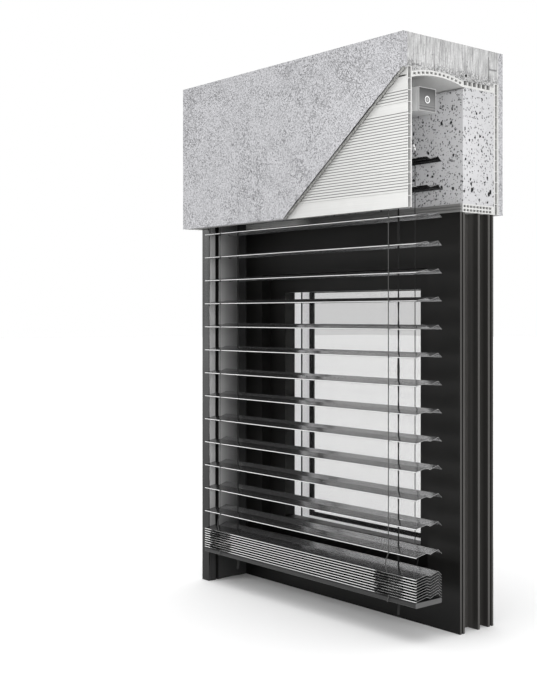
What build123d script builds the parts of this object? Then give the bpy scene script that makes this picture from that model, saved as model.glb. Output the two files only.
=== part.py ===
"""Exterior venetian blind in a lintel box, standing on a triple-glazed window frame.

Millimetres. X runs along the wall to the right, Y into the building, Z up.
The origin is at the middle of the footprint, on the floor. The unit is a
cut-away: box, blind and window all end at the same plane on the right.
"""

import os
from math import sqrt

from build123d import *

os.makedirs("parts", exist_ok=True)

# Overall sizes
unit_length = 864
box_depth = 359
box_height = 402
window_height = 1014
seat_gap = 0.3

unit_left = -unit_length / 2
unit_right = unit_length / 2
box_front = -box_depth / 2
box_back = box_depth / 2
box_bottom = window_height
box_top = window_height + box_height

# Lintel box: render coats, hollow plastic panels, insulation and lintel
front_render_thickness = 13
rear_render_thickness = 16.5
end_panel_thickness = 13
front_panel_thickness = 15
rear_panel_thickness = 18
panel_wall = 1.4
panel_web_pitch = 27
panel_top_height = 324
rib_depth = 1.5
rib_height = 4.4
rib_pitch = 6.75
upper_rib_count = 5
upper_rib_start = 274
lower_rib_count = 28
lower_rib_start = 223
render_cut_run = 420
render_cut_rise = 320

panel_left = unit_left + end_panel_thickness
panel_length = unit_right - panel_left
front_panel_front = box_front + front_render_thickness
front_panel_back = front_panel_front + front_panel_thickness
rear_panel_back = box_back - rear_render_thickness
rear_panel_front = rear_panel_back - rear_panel_thickness
panel_top = box_bottom + panel_top_height

# Top panel: its underside arches over the blind and is flat over the insulation
soffit_height = 300
arch_rise = 12
arch_cell_width = 9
arch_cell_height = 5.5
arch_cell_pitch = 14.5
arch_cell_lift = 6.5
flat_cell_width = 13
flat_cell_height = 11
flat_cell_pitch = 17
flat_cell_lift = 11

# Insulation block, the panel under it and the stepped edge profile in front
insulation_depth = 117
insulation_corner_radius = 10
insulation_notch_depth = 5
insulation_notch_height = 4
base_panel_height = 20
base_cell_width = 9
base_cell_height = 5.5
base_cell_pitch = 12
base_edge_depth = 10
base_edge_groove_depth = 4
base_edge_groove_height = 3

insulation_front = rear_panel_front - insulation_depth
base_edge_front = insulation_front - base_edge_depth
soffit = box_bottom + soffit_height
base_panel_top = box_bottom + base_panel_height

# Slats: a Z-shaped wing section with a step in the middle and a drip hook behind
slat_width = 90
slat_thickness = 0.7
slat_bead_diameter = 3.2
slat_to_front_panel = 13.5
slat_bend_radius = 2.5
front_wing_end = 37.6
front_wing_rise = 6.2
step_end = 49.7
step_rise = 1.6
rear_wing_end = 77.7
rear_wing_rise = 9.7
hook_start = 83
hook_start_rise = 3.8
hook_tip_rise = -1
slat_gap_to_rail = 2
slat_pitch = 66
slat_count = 15
lowest_slat_edge = 205.3
stacked_count = 9
stack_pitch = 6.45

slat_front = front_panel_back + slat_to_front_panel
slat_middle = slat_front + slat_width / 2
slat_back = slat_front + slat_width

# Guide pins: a slider in the rail's groove and a spigot that the slat turns on
spigot_diameter = 2
spigot_clearance = 0.3
pin_drop = 2.5
clip_length = 12
clip_width = 8
clip_height = 4.2
slider_height = 5
slider_clearance = 0.3
slider_length = 18

# Guide rail at the left, with two liner strips in its groove
rail_width = 32
rail_to_unit_left = 16
rail_height = 1225
rail_wall = 2.5
groove_width = 13
groove_depth = 22
groove_to_rail_front = 29
liner_thickness = 3
rail_waist_start = 46
rail_waist = 3
rail_slot_start = 2
rail_slot_end = 10
rail_slot_depth = 1.5

rail_left = unit_left + rail_to_unit_left
rail_right = rail_left + rail_width
rail_front = slat_middle - groove_to_rail_front
slat_left = rail_right + slat_gap_to_rail

# Window frame
frame_depth = 125
stile_face = 104
head_face = 131.4
sill_face = 132
reveal_depth = 34
rebate = 12
frame_wall = 10

frame_front = base_edge_front
frame_back = frame_front + frame_depth
rail_depth = frame_front - rail_front
frame_left = rail_left
opening_left = frame_left + stile_face - 1.5
opening_right = unit_right - stile_face + 0.5
opening_bottom = sill_face
opening_top = window_height - head_face

# Fins on the outer sides of the frame, as depths from its front face
fin_groove_start = 6
fin_groove_end = 11
fin_groove_depth = 4
front_fin_end = 17.5
middle_fin_start = 66
middle_fin_end = 73.5
rear_fin_start = 104
rear_fin_end = 112
seal_groove_end = 119
wide_recess = 32
narrow_recess = 25
seal_groove = 12

# Sash and triple glazing
sash_face = 54
sash_left_face = 64
sash_top_face = 50.6
sash_overlap = 10
sash_depth = 126
sash_lip = 8
sash_chamfer_width = 11
sash_chamfer_depth = 12
glass_thickness = 6
middle_glass_thickness = 4
glass_start = 37
middle_glass_start = 72
inner_glass_start = 104
glass_edge_cover = 22
glazing_groove_depth = 24
gasket_thickness = 3
gasket_width = 8
spacer_width = 10
spacer_recess = 11

# Headrail with its drive
headrail_width = 58.5
headrail_height = 55.5
headrail_to_slat_front = 10.5
headrail_bottom = 1240
headrail_wall = 1.2
headrail_lip = 6
headrail_inset = 4
cap_thickness = 4
cap_rim = 1.5
cap_recess = 1.5
cap_ring_diameter = 18
shaft_across_flats = 7
shaft_clearance = 0.3
spool_core_clearance = 0.3
spool_flange_diameter = 42
spool_flange_thickness = 1.5
spool_gap = 8
tilt_ring_diameter = 40
tilt_ring_width = 7
motor_length = 170
motor_width = 50
motor_height = 44
motor_corner_radius = 6
motor_middle = 20
bracket_thickness = 2
bracket_length = 24
bracket_places = (-330, 0, 300)
screw_head_diameter = 7
screw_head_height = 2.4

headrail_front = slat_front + headrail_to_slat_front
headrail_top = headrail_bottom + headrail_height
headrail_left = slat_left + headrail_inset
shaft_y = headrail_front + headrail_width / 2
shaft_z = headrail_bottom + headrail_height / 2

# Ladders and lift tapes
ladder_right = 346
ladder_left = -309
tape_right = 335
tape_left = -286
cord_diameter = 2
cord_clearance = 0.3
cord_bend_radius = 12
cord_spread_top = 1228
cord_spread_bottom = 1168
tape_width = 6
tape_thickness = 0.4
tape_slot_length = 17
tape_slot_front = 38
tape_slot_width = 11

# Bottom rail
bottom_rail_height = 12
bottom_rail_bottom = 88.5
bottom_rail_wall = 1.6
bottom_rail_radius = 3
bottom_cap_thickness = 3

# Fixing holes under the sill
base_hole_diameter = 6
base_hole_depth = 40
base_hole_to_end = 152
base_hole_spacing_y = 80

ladder_places = (ladder_left, ladder_right)
tape_places = (tape_left, tape_right)


def arch_height(y):
    """Height of the soffit's arch at depth y, from the circle through its ends and crown."""
    half_span = (insulation_front - front_panel_back) / 2
    radius = (half_span**2 + arch_rise**2) / (2 * arch_rise)
    middle = (insulation_front + front_panel_back) / 2
    reach = min(abs(y - middle), half_span)
    return soffit + arch_rise - radius + sqrt(radius**2 - reach**2)


def step_height(across):
    """Height of the slat's middle step at a distance from its front edge."""
    slope = (step_rise - front_wing_rise) / (step_end - front_wing_end)
    return front_wing_rise + slope * (across - front_wing_end)


pin_height = step_height(slat_width / 2) - pin_drop

# The lowest stacked slat rests with its end clip just above the bottom rail
clip_bottom = step_height((slat_width + clip_width) / 2) - clip_height
bottom_rail_top = bottom_rail_bottom + bottom_rail_height
stack_bottom_edge = bottom_rail_top + seat_gap - clip_bottom


# Front render with its diagonal cut
with BuildPart() as front_render:
    with BuildSketch(Plane.XZ.offset(-front_panel_front)):
        with BuildLine():
            Polyline(
                (unit_left, box_bottom),
                (unit_right - render_cut_run, box_bottom),
                (unit_right, box_bottom + render_cut_rise),
                (unit_right, box_top),
                (unit_left, box_top),
                close=True,
            )
        make_face()
    extrude(amount=front_render_thickness)
front_render.part.label = "front_render"
export_step(front_render.part, "parts/front_render.step")

# Rear render
with BuildPart() as rear_render:
    with BuildSketch(Plane.XZ.offset(-box_back)):
        with Locations(((unit_left + unit_right) / 2, (box_bottom + box_top) / 2)):
            Rectangle(unit_length, box_height)
    extrude(amount=rear_render_thickness)
rear_render.part.label = "rear_render"
export_step(rear_render.part, "parts/rear_render.step")

# End panel that closes the left end
with BuildPart() as left_end_panel:
    with BuildSketch(Plane.YZ.offset(unit_left)):
        with Locations(((front_panel_front + rear_panel_back) / 2, (box_bottom + box_top) / 2)):
            Rectangle(rear_panel_back - front_panel_front, box_height)
    extrude(amount=end_panel_thickness)
left_end_panel.part.label = "left_end_panel"
export_step(left_end_panel.part, "parts/left_end_panel.step")

# Front panel: ribbed outside, one row of cells inside
front_cell_count = int(panel_top_height / panel_web_pitch)
front_cell_width = front_panel_thickness - rib_depth - 3 * panel_wall
with BuildPart() as front_panel:
    with BuildSketch(Plane.YZ.offset(panel_left)):
        with Locations((front_panel_front + rib_depth, box_bottom)):
            Rectangle(
                front_panel_thickness - rib_depth,
                panel_top_height,
                align=(Align.MIN, Align.MIN),
            )
        for start, count in ((upper_rib_start, upper_rib_count), (lower_rib_start, lower_rib_count)):
            for number in range(count):
                with Locations((front_panel_front, box_bottom + start - number * rib_pitch)):
                    Rectangle(rib_depth, rib_height, align=(Align.MIN, Align.MAX))
        for number in range(front_cell_count):
            cell_bottom = panel_top - panel_wall - number * panel_web_pitch
            with Locations((front_panel_back - 2 * panel_wall, cell_bottom)):
                Rectangle(
                    front_cell_width,
                    panel_web_pitch - panel_wall,
                    align=(Align.MAX, Align.MAX),
                    mode=Mode.SUBTRACT,
                )
    extrude(amount=panel_length)
front_panel.part.label = "front_panel"
export_step(front_panel.part, "parts/front_panel.step")

# Rear panel: smooth, one row of cells
with BuildPart() as rear_panel:
    with BuildSketch(Plane.YZ.offset(panel_left)):
        with Locations((rear_panel_front, box_bottom)):
            Rectangle(rear_panel_thickness, panel_top_height, align=(Align.MIN, Align.MIN))
        for number in range(front_cell_count):
            cell_top = panel_top - panel_wall - number * panel_web_pitch
            with Locations(((rear_panel_front + rear_panel_back) / 2, cell_top)):
                Rectangle(
                    rear_panel_thickness / 2,
                    panel_web_pitch - panel_wall,
                    align=(Align.CENTER, Align.MAX),
                    mode=Mode.SUBTRACT,
                )
    extrude(amount=panel_length)
rear_panel.part.label = "rear_panel"
export_step(rear_panel.part, "parts/rear_panel.step")

# Top panel: arched soffit over the blind, cells that follow it
arch_middle = (front_panel_back + insulation_front) / 2
arch_cell_count = int((insulation_front - front_panel_back - 2 * panel_wall) / arch_cell_pitch)
flat_cell_count = int((rear_panel_front - insulation_front - 2 * panel_wall) / flat_cell_pitch)
with BuildPart() as top_panel:
    with BuildSketch(Plane.YZ.offset(panel_left)):
        with BuildLine():
            ThreePointArc(
                (front_panel_back, soffit),
                (arch_middle, soffit + arch_rise),
                (insulation_front, soffit),
            )
            Polyline(
                (insulation_front, soffit),
                (rear_panel_front, soffit),
                (rear_panel_front, panel_top),
                (front_panel_back, panel_top),
                (front_panel_back, soffit),
            )
        make_face()
        for number in range(arch_cell_count):
            across = arch_middle + (number - (arch_cell_count - 1) / 2) * arch_cell_pitch
            with Locations((across, arch_height(across) + arch_cell_lift)):
                Rectangle(arch_cell_width, arch_cell_height, mode=Mode.SUBTRACT)
        for number in range(flat_cell_count):
            across = insulation_front + (number + 0.5) * flat_cell_pitch + panel_wall
            with Locations((across, soffit + flat_cell_lift)):
                Rectangle(flat_cell_width, flat_cell_height, mode=Mode.SUBTRACT)
    extrude(amount=panel_length)
top_panel.part.label = "top_panel"
export_step(top_panel.part, "parts/top_panel.step")

# Lintel slab above the panels
with BuildPart() as lintel:
    with BuildSketch(Plane.YZ.offset(panel_left)):
        with Locations((front_panel_front, panel_top)):
            Rectangle(
                rear_panel_back - front_panel_front,
                box_top - panel_top,
                align=(Align.MIN, Align.MIN),
            )
    extrude(amount=panel_length)
lintel.part.label = "lintel"
export_step(lintel.part, "parts/lintel.step")

# Insulation block between soffit and base panel, notched along its upper front edge
with BuildPart() as insulation_block:
    with BuildSketch(Plane.YZ.offset(panel_left)) as insulation_section:
        with Locations((insulation_front, base_panel_top)):
            Rectangle(
                insulation_depth,
                soffit - base_panel_top - seat_gap,
                align=(Align.MIN, Align.MIN),
            )
        upper_back_corner = insulation_section.vertices().group_by(Axis.Z)[-1].sort_by(Axis.Y)[-1]
        fillet(upper_back_corner, radius=insulation_corner_radius)
        with Locations((insulation_front, soffit - seat_gap)):
            Rectangle(
                insulation_notch_depth,
                insulation_notch_height,
                align=(Align.MIN, Align.MAX),
                mode=Mode.SUBTRACT,
            )
    extrude(amount=panel_length)
insulation_block.part.label = "insulation_block"
export_step(insulation_block.part, "parts/insulation_block.step")

# Base panel with two rows of cells, and the stepped edge profile in front of it
base_cell_count = int((insulation_depth - 2 * panel_wall) / base_cell_pitch)
with BuildPart() as base_panel:
    with BuildSketch(Plane.YZ.offset(panel_left)):
        with Locations((insulation_front, box_bottom)):
            Rectangle(insulation_depth, base_panel_height, align=(Align.MIN, Align.MIN))
        for row in (0.27, 0.73):
            for number in range(base_cell_count):
                across = insulation_front + panel_wall + (number + 0.5) * base_cell_pitch
                with Locations((across, box_bottom + row * base_panel_height)):
                    Rectangle(base_cell_width, base_cell_height, mode=Mode.SUBTRACT)
    extrude(amount=panel_length)
    with BuildSketch(Plane.YZ.offset(panel_left)):
        with Locations((base_edge_front, box_bottom)):
            Rectangle(base_edge_depth, base_panel_height, align=(Align.MIN, Align.MIN))
        for row in (0.33, 0.66):
            with Locations((base_edge_front, box_bottom + row * base_panel_height)):
                Rectangle(
                    base_edge_groove_depth,
                    base_edge_groove_height,
                    align=(Align.MIN, Align.CENTER),
                    mode=Mode.SUBTRACT,
                )
    extrude(amount=panel_length)
base_panel.part.label = "base_panel"
export_step(base_panel.part, "parts/base_panel.step")

# Guide rail: a groove for the pins, a front chamber and a waisted rear chamber
groove_front = slat_middle - groove_width / 2
groove_back = slat_middle + groove_width / 2
with BuildPart() as guide_rail:
    with BuildSketch(Plane.XY):
        with Locations((rail_left, rail_front)):
            Rectangle(rail_width, rail_depth, align=(Align.MIN, Align.MIN))
        with Locations((rail_right, groove_front)):
            Rectangle(groove_depth, groove_width, align=(Align.MAX, Align.MIN), mode=Mode.SUBTRACT)
        with Locations((rail_right, rail_front + rail_waist_start)):
            Rectangle(
                rail_waist,
                rail_depth - rail_waist_start,
                align=(Align.MAX, Align.MIN),
                mode=Mode.SUBTRACT,
            )
        with Locations((rail_right, rail_front + rail_slot_start)):
            Rectangle(
                rail_slot_depth,
                rail_slot_end - rail_slot_start,
                align=(Align.MAX, Align.MIN),
                mode=Mode.SUBTRACT,
            )
        with Locations((rail_left + rail_wall, rail_front + rail_wall)):
            Rectangle(
                rail_width - 2 * rail_wall - rail_slot_depth,
                groove_front - rail_front - 2 * rail_wall,
                align=(Align.MIN, Align.MIN),
                mode=Mode.SUBTRACT,
            )
        with Locations((rail_left + rail_wall, groove_back + rail_wall)):
            Rectangle(
                rail_width - 2 * rail_wall - rail_waist,
                frame_front - groove_back - 2 * rail_wall,
                align=(Align.MIN, Align.MIN),
                mode=Mode.SUBTRACT,
            )
    extrude(amount=rail_height)
guide_rail.part.label = "guide_rail"
export_step(guide_rail.part, "parts/guide_rail.step")

# Liner strips that line both sides of the groove
with BuildPart() as rail_liners:
    with BuildSketch(Plane.XY):
        with Locations((rail_right, groove_front), (rail_right, groove_back - liner_thickness)):
            Rectangle(groove_depth, liner_thickness, align=(Align.MAX, Align.MIN))
    extrude(amount=rail_height)
rail_liners.part.label = "rail_liners"
export_step(rail_liners.part, "parts/rail_liners.step")


def stile_outline(outer, lip, inward):
    """Plan outline of a frame stile; inward is -1 for the right stile and 1 for the left."""
    front = frame_front
    return [
        (outer, front),
        (outer, front + fin_groove_start),
        (outer + inward * fin_groove_depth, front + fin_groove_start),
        (outer + inward * fin_groove_depth, front + fin_groove_end),
        (outer, front + fin_groove_end),
        (outer, front + front_fin_end),
        (outer + inward * wide_recess, front + front_fin_end),
        (outer + inward * wide_recess, front + middle_fin_start),
        (outer, front + middle_fin_start),
        (outer, front + middle_fin_end),
        (outer + inward * narrow_recess, front + middle_fin_end),
        (outer + inward * narrow_recess, front + rear_fin_start),
        (outer, front + rear_fin_start),
        (outer, front + rear_fin_end),
        (outer + inward * seal_groove, front + rear_fin_end),
        (outer + inward * seal_groove, front + seal_groove_end),
        (outer, front + seal_groove_end),
        (outer, frame_back),
        (lip - inward * rebate, frame_back),
        (lip - inward * rebate, front + reveal_depth - seat_gap),
        (lip, front + reveal_depth - seat_gap),
        (lip, front),
    ]


# Frame stiles: finned extrusions over the full height, with one chamber each
with BuildPart() as frame_stiles:
    for outer, lip, inward in ((frame_left, opening_left, 1), (unit_right, opening_right, -1)):
        with BuildSketch(Plane.XY):
            with BuildLine():
                Polyline(*stile_outline(outer, lip, inward), close=True)
            make_face()
            chamber_outer = outer + inward * (wide_recess + frame_wall)
            chamber_inner = lip - inward * (rebate + frame_wall)
            with Locations(((chamber_outer + chamber_inner) / 2, (frame_front + frame_back) / 2)):
                Rectangle(
                    abs(chamber_inner - chamber_outer),
                    frame_depth - 2 * frame_wall,
                    mode=Mode.SUBTRACT,
                )
        extrude(amount=window_height)
frame_stiles.part.label = "frame_stiles"
export_step(frame_stiles.part, "parts/frame_stiles.step")

# Frame head and sill, let in between the stiles behind their lips
member_left = opening_left - rebate
member_right = opening_right + rebate
lip_depth = reveal_depth - seat_gap
with BuildPart() as frame_rails:
    for edge, outward, face in ((opening_bottom, -1, sill_face), (opening_top, 1, head_face)):
        with BuildSketch(Plane.YZ.offset(member_left)):
            with BuildLine():
                Polyline(
                    (frame_front, edge),
                    (frame_front + lip_depth, edge),
                    (frame_front + lip_depth, edge + outward * rebate),
                    (frame_back, edge + outward * rebate),
                    (frame_back, edge + outward * face),
                    (frame_front, edge + outward * face),
                    close=True,
                )
            make_face()
            chamber_middle = edge + outward * (rebate + face) / 2
            with Locations(((frame_front + frame_back) / 2, chamber_middle)):
                Rectangle(
                    frame_depth - 2 * frame_wall,
                    face - rebate - 6 * frame_wall,
                    mode=Mode.SUBTRACT,
                )
        extrude(amount=member_right - member_left)
    for end, side in ((member_left, Align.MIN), (member_right, Align.MAX)):
        with Locations((end, frame_front, 0)):
            Box(
                rebate,
                lip_depth,
                window_height,
                align=(side, Align.MIN, Align.MIN),
                mode=Mode.SUBTRACT,
            )
    with Locations(
        Plane((0, (frame_front + frame_back) / 2, 0), x_dir=(1, 0, 0), z_dir=(0, 0, -1))
    ):
        with GridLocations(unit_length - 2 * base_hole_to_end, base_hole_spacing_y, 2, 2):
            Hole(base_hole_diameter / 2, depth=base_hole_depth)
frame_rails.part.label = "frame_rails"
export_step(frame_rails.part, "parts/frame_rails.step")

# Sash section: rebated outside, grooved inside for the glass, lipped behind
sash_front = frame_front + reveal_depth
sash_back = sash_front + sash_depth
groove_start = glass_start - gasket_thickness
groove_end = inner_glass_start + glass_thickness + gasket_thickness
clear_left = opening_left + sash_left_face
clear_right = opening_right - sash_face
clear_bottom = opening_bottom + sash_face
clear_top = opening_top - sash_top_face


def sash_outline(clear, outward, face):
    """Section of a sash member, from its clear edge outward, as (across, depth) points."""
    outer = clear + outward * (face + sash_overlap)
    lip = clear + outward * (face + rebate + sash_lip)
    return [
        (clear, sash_front),
        (outer, sash_front),
        (outer, frame_back + seat_gap),
        (lip, frame_back + seat_gap),
        (lip, sash_back),
        (clear + outward * sash_chamfer_width, sash_back),
        (clear, sash_back - sash_chamfer_depth),
        (clear, sash_front + groove_end),
        (clear + outward * glazing_groove_depth, sash_front + groove_end),
        (clear + outward * glazing_groove_depth, sash_front + groove_start),
        (clear, sash_front + groove_start),
    ]


sash_bottom = opening_bottom - rebate - sash_lip
sash_top = opening_top + rebate + sash_lip
with BuildPart() as sash_stiles:
    for clear, outward, face in ((clear_left, -1, sash_left_face), (clear_right, 1, sash_face)):
        with BuildSketch(Plane.XY.offset(sash_bottom)):
            with BuildLine():
                Polyline(*sash_outline(clear, outward, face), close=True)
            make_face()
        extrude(amount=sash_top - sash_bottom)
    overlap_step = rebate + sash_lip - sash_overlap
    for height, side in ((sash_bottom, Align.MIN), (sash_top, Align.MAX)):
        with Locations((0, sash_front, height)):
            Box(
                unit_length,
                frame_back + seat_gap - sash_front,
                overlap_step,
                align=(Align.CENTER, Align.MIN, side),
                mode=Mode.SUBTRACT,
            )
sash_stiles.part.label = "sash_stiles"
export_step(sash_stiles.part, "parts/sash_stiles.step")

# Its rails reach into the stiles' grooves and fit round their chamfers
with BuildPart() as sash_rails:
    for clear, outward, face in ((clear_bottom, -1, sash_face), (clear_top, 1, sash_top_face)):
        with BuildSketch(Plane.YZ.offset(clear_left - sash_chamfer_width)):
            with BuildLine():
                Polyline(
                    *[(depth, height) for height, depth in sash_outline(clear, outward, face)],
                    close=True,
                )
            make_face()
        extrude(amount=clear_right - clear_left + 2 * sash_chamfer_width)
    add(sash_stiles.part, mode=Mode.SUBTRACT)
sash_rails.part.label = "sash_rails"
export_step(sash_rails.part, "parts/sash_rails.step")

# Three panes of glass in the sash's groove
clear_width = clear_right - clear_left
clear_height = clear_top - clear_bottom
glass_middle = ((clear_left + clear_right) / 2, (clear_bottom + clear_top) / 2)
pane_places = (
    (glass_start, glass_thickness),
    (middle_glass_start, middle_glass_thickness),
    (inner_glass_start, glass_thickness),
)
with BuildPart() as glass_panes:
    for start, thickness in pane_places:
        with BuildSketch(Plane.XZ.offset(-sash_front - start - thickness)):
            with Locations(glass_middle):
                Rectangle(
                    clear_width + 2 * glass_edge_cover,
                    clear_height + 2 * glass_edge_cover,
                )
        extrude(amount=thickness)
glass_panes.part.label = "glass_panes"
export_step(glass_panes.part, "parts/glass_panes.step")

# Spacer frames between the panes, set back behind the sash's edge
outer_space = (glass_start + glass_thickness, middle_glass_start)
inner_space = (middle_glass_start + middle_glass_thickness, inner_glass_start)
with BuildPart() as glazing_spacers:
    for start, end in (outer_space, inner_space):
        with BuildSketch(Plane.XZ.offset(-sash_front - end)):
            with Locations(glass_middle):
                Rectangle(
                    clear_width + 2 * (spacer_recess + spacer_width),
                    clear_height + 2 * (spacer_recess + spacer_width),
                )
                Rectangle(
                    clear_width + 2 * spacer_recess,
                    clear_height + 2 * spacer_recess,
                    mode=Mode.SUBTRACT,
                )
        extrude(amount=end - start)
glazing_spacers.part.label = "glazing_spacers"
export_step(glazing_spacers.part, "parts/glazing_spacers.step")

# Gaskets between sash and glass, before and behind
with BuildPart() as glazing_gaskets:
    for start in (groove_start, inner_glass_start + glass_thickness):
        with BuildSketch(Plane.XZ.offset(-sash_front - start - gasket_thickness)):
            with Locations(glass_middle):
                Rectangle(clear_width + 2 * gasket_width, clear_height + 2 * gasket_width)
                Rectangle(clear_width, clear_height, mode=Mode.SUBTRACT)
        extrude(amount=gasket_thickness)
glazing_gaskets.part.label = "glazing_gaskets"
export_step(glazing_gaskets.part, "parts/glazing_gaskets.step")

# Headrail: a folded channel with slots for cords and tapes in its floor
slot_width = tape_width + 5
with BuildPart() as headrail:
    with BuildSketch(Plane.YZ.offset(headrail_left)):
        with Locations((headrail_front, headrail_bottom)):
            Rectangle(headrail_width, headrail_height, align=(Align.MIN, Align.MIN))
        with Locations((headrail_front + headrail_wall, headrail_bottom + headrail_wall)):
            Rectangle(
                headrail_width - 2 * headrail_wall,
                headrail_height - 2 * headrail_wall,
                align=(Align.MIN, Align.MIN),
                mode=Mode.SUBTRACT,
            )
        with Locations((shaft_y, headrail_top)):
            Rectangle(
                headrail_width - 2 * headrail_lip,
                2 * headrail_wall,
                align=(Align.CENTER, Align.MAX),
                mode=Mode.SUBTRACT,
            )
    extrude(amount=unit_right - headrail_left - cap_thickness)
    for place in ladder_places + tape_places:
        with Locations((place, shaft_y, headrail_bottom)):
            Box(
                slot_width,
                headrail_width - 4 * headrail_lip + 12,
                4 * headrail_wall,
                mode=Mode.SUBTRACT,
            )
headrail.part.label = "headrail"
export_step(headrail.part, "parts/headrail.step")

# End caps that close the headrail, each a recessed plate with a ring for the shaft
shaft_bore = shaft_across_flats / 2 / 0.866 + shaft_clearance
with BuildPart() as headrail_caps:
    for outer_face, inward in ((headrail_left - cap_thickness, 1), (unit_right, -1)):
        with BuildSketch(Plane.YZ.offset(outer_face)):
            with Locations((headrail_front, headrail_bottom)):
                Rectangle(headrail_width, headrail_height, align=(Align.MIN, Align.MIN))
            with Locations((shaft_y, shaft_z)):
                Circle(shaft_bore, mode=Mode.SUBTRACT)
        extrude(amount=inward * cap_thickness)
        with BuildSketch(Plane.YZ.offset(outer_face)):
            with Locations((headrail_front + cap_rim, headrail_bottom + cap_rim)):
                Rectangle(
                    headrail_width - 2 * cap_rim,
                    headrail_height - 2 * cap_rim,
                    align=(Align.MIN, Align.MIN),
                )
            with Locations((shaft_y, shaft_z)):
                Circle(cap_ring_diameter / 2, mode=Mode.SUBTRACT)
        extrude(amount=inward * cap_recess, mode=Mode.SUBTRACT)
headrail_caps.part.label = "headrail_caps"
export_step(headrail_caps.part, "parts/headrail_caps.step")

# Brackets that hang the headrail from the soffit
with BuildPart() as headrail_brackets:
    for place in bracket_places:
        with BuildSketch(Plane.YZ.offset(place - bracket_length / 2)):
            with Locations((headrail_front - bracket_thickness, headrail_top - 4 * headrail_lip)):
                Rectangle(
                    headrail_width + 2 * bracket_thickness,
                    soffit + arch_rise - headrail_top + 4 * headrail_lip,
                    align=(Align.MIN, Align.MIN),
                )
            with Locations((headrail_front, headrail_top - 4 * headrail_lip)):
                Rectangle(
                    headrail_width,
                    4 * headrail_lip,
                    align=(Align.MIN, Align.MIN),
                    mode=Mode.SUBTRACT,
                )
            with Locations((shaft_y, headrail_top + bracket_thickness)):
                Rectangle(
                    headrail_width - 2 * bracket_thickness,
                    arch_height(headrail_front) - headrail_top - 2 * bracket_thickness,
                    align=(Align.CENTER, Align.MIN),
                    mode=Mode.SUBTRACT,
                )
            with BuildLine():
                ThreePointArc(
                    (front_panel_back, soffit),
                    (arch_middle, soffit + arch_rise),
                    (insulation_front, soffit),
                )
                Polyline(
                    (insulation_front, soffit),
                    (insulation_front, panel_top),
                    (front_panel_back, panel_top),
                    (front_panel_back, soffit),
                )
            make_face(mode=Mode.SUBTRACT)
        extrude(amount=bracket_length)
headrail_brackets.part.label = "headrail_brackets"
export_step(headrail_brackets.part, "parts/headrail_brackets.step")

# Hexagonal drive shaft through the headrail
with BuildPart() as drive_shaft:
    with BuildSketch(Plane.YZ.offset(headrail_left - cap_thickness)):
        with Locations((shaft_y, shaft_z)):
            RegularPolygon(shaft_across_flats / 2, 6, major_radius=False)
    extrude(amount=unit_right - headrail_left + cap_thickness)
drive_shaft.part.label = "drive_shaft"
export_step(drive_shaft.part, "parts/drive_shaft.step")

# Tape spools, keyed to the shaft: the tape leaves them in line with the slat's middle
spool_core_radius = slat_middle - tape_thickness / 2 - shaft_y - spool_core_clearance
with BuildPart() as cord_spools:
    for place in tape_places:
        with BuildSketch(Plane.YZ.offset(place - spool_gap / 2 - spool_flange_thickness)):
            with Locations((shaft_y, shaft_z)):
                Circle(spool_core_radius)
                RegularPolygon(shaft_across_flats / 2, 6, major_radius=False, mode=Mode.SUBTRACT)
        extrude(amount=spool_gap + 2 * spool_flange_thickness)
        for side in (-1, 1):
            middle = place + side * (spool_gap + spool_flange_thickness) / 2
            with BuildSketch(Plane.YZ.offset(middle - spool_flange_thickness / 2)):
                with Locations((shaft_y, shaft_z)):
                    Circle(spool_flange_diameter / 2)
                    Circle(spool_core_radius - 0.2, mode=Mode.SUBTRACT)
            extrude(amount=spool_flange_thickness)
cord_spools.part.label = "cord_spools"
export_step(cord_spools.part, "parts/cord_spools.step")

# Tilt rings that turn the ladders, loose on the shaft beside the spools
with BuildPart() as tilt_rings:
    for ladder in ladder_places:
        with BuildSketch(Plane.YZ.offset(ladder - tilt_ring_width / 2)):
            with Locations((shaft_y, shaft_z)):
                Circle(tilt_ring_diameter / 2)
                Circle(shaft_bore, mode=Mode.SUBTRACT)
        extrude(amount=tilt_ring_width)
tilt_rings.part.label = "tilt_rings"
export_step(tilt_rings.part, "parts/tilt_rings.step")

# Motor in the middle of the headrail, with the shaft through it
motor_bottom = headrail_bottom + headrail_wall
with BuildPart() as motor:
    with BuildSketch(Plane.YZ.offset(motor_middle - motor_length / 2)):
        with Locations((shaft_y, motor_bottom + motor_height / 2)):
            RectangleRounded(motor_width, motor_height, motor_corner_radius)
        with Locations((shaft_y, shaft_z)):
            Circle(shaft_bore, mode=Mode.SUBTRACT)
    extrude(amount=motor_length)
motor.part.label = "motor"
export_step(motor.part, "parts/motor.step")

# Screws that fix the brackets to the soffit
with BuildPart() as fixing_screws:
    for place in bracket_places:
        with Locations((place, shaft_y, arch_height(headrail_front) - bracket_thickness)):
            Cylinder(
                screw_head_diameter / 2,
                screw_head_height,
                align=(Align.CENTER, Align.CENTER, Align.MAX),
            )
fixing_screws.part.label = "fixing_screws"
export_step(fixing_screws.part, "parts/fixing_screws.step")


def slat_section():
    """Closed outline of the slat about its front edge, as a face in the YZ plane."""
    bends = [
        (front_wing_end, front_wing_rise),
        (step_end, step_rise),
        (rear_wing_end, rear_wing_rise),
        (hook_start, hook_start_rise),
    ]
    lower = [(0, 0)] + bends + [(slat_width, hook_tip_rise)]
    upper = [(across, rise + slat_thickness) for across, rise in lower]
    return lower, upper


lower_points, upper_points = slat_section()
with BuildSketch() as slat_profile:
    with BuildLine():
        FilletPolyline(*lower_points, radius=slat_bend_radius)
        FilletPolyline(*upper_points, radius=slat_bend_radius)
        Line(lower_points[0], upper_points[0])
        Line(lower_points[-1], upper_points[-1])
    make_face()
    with Locations((slat_bead_diameter / 2, 0)):
        Circle(slat_bead_diameter / 2)

slat_length = unit_right - slat_left


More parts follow.
